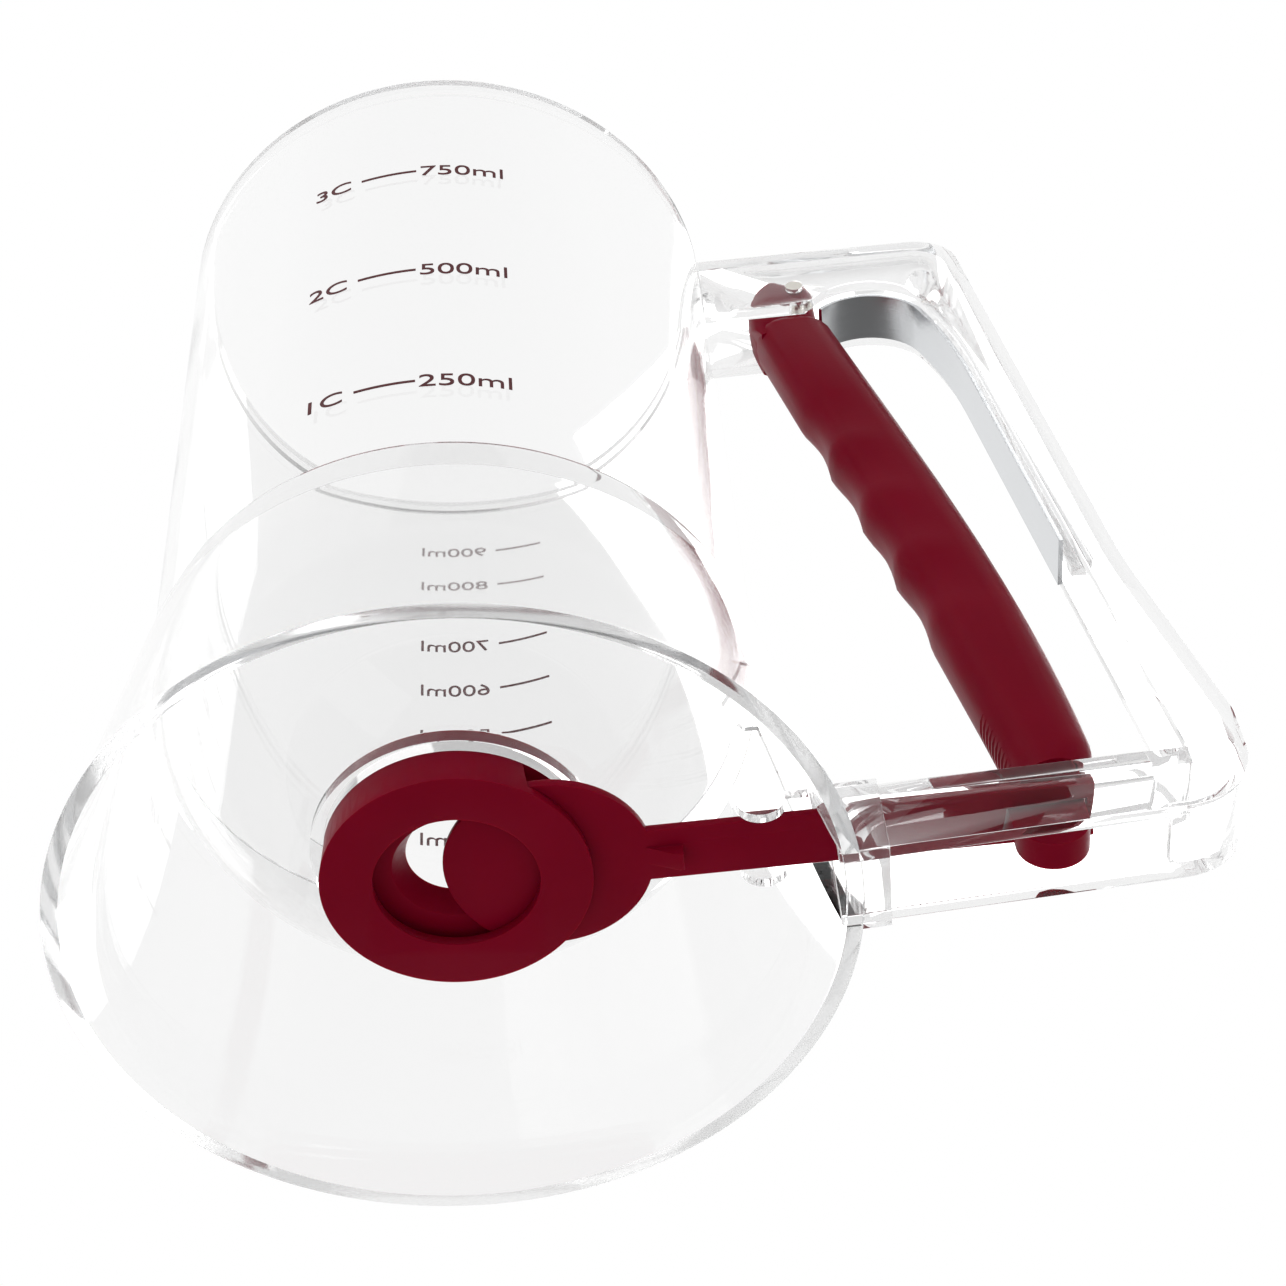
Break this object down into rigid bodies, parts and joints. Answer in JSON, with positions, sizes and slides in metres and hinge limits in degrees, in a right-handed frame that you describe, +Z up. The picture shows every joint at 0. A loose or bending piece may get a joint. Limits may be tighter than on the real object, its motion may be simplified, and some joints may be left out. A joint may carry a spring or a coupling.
{
  "type": "batter dispenser",
  "caption": "Clear measuring jug with a bowl floor and a flared skirt; squeezing the finger lever in its handle draws a shutter across the nozzle below and lets batter run out.",
  "frame": {"origin": "centre of the skirt's rim, on the plane that the jug stands on", "axes": "+Z up along the jug's axis, +X towards the handle, so +Y is to the left of somebody who looks from the jug towards the handle"},
  "size_m": [0.1811, 0.121, 0.18],
  "materials": {
    "clear_plastic": "clear, polished",
    "red_plastic": "satin gloss",
    "steel": "bright spring steel",
    "printed_ink": "printed"
  },
  "bodies": {
    "jug": {"cup": "clear_plastic", "skirt": "clear_plastic", "arm_socket": "clear_plastic", "slide_guides": "clear_plastic", "handle": "clear_plastic", "nozzle": "red_plastic", "pivot_pin": "steel", "leaf_spring": "steel", "front_scale": "printed_ink", "back_scale": "printed_ink"},
    "slide": {"shutter": "red_plastic"},
    "lever": {"trigger": "red_plastic"}
  },
  "joints": [
    {"name": "trigger_hinge", "type": "hinge", "parent": "jug", "child": "lever", "pos_m": [0.0678, 0, 0.164], "axis": [0, -1, 0], "range_deg": [-3.04, 3.79], "stiffness_Nm_per_rad": 1.2, "deforming": ["leaf_spring"]},
    {"name": "shutter_slide", "type": "slide", "parent": "jug", "child": "slide", "axis": [1, 0, 0], "range_m": [-0.008, 0.01]}
  ],
  "couplings": [
    {"joint": "shutter_slide", "follows": "trigger_hinge", "m_per_rad": 0.15075}
  ]
}
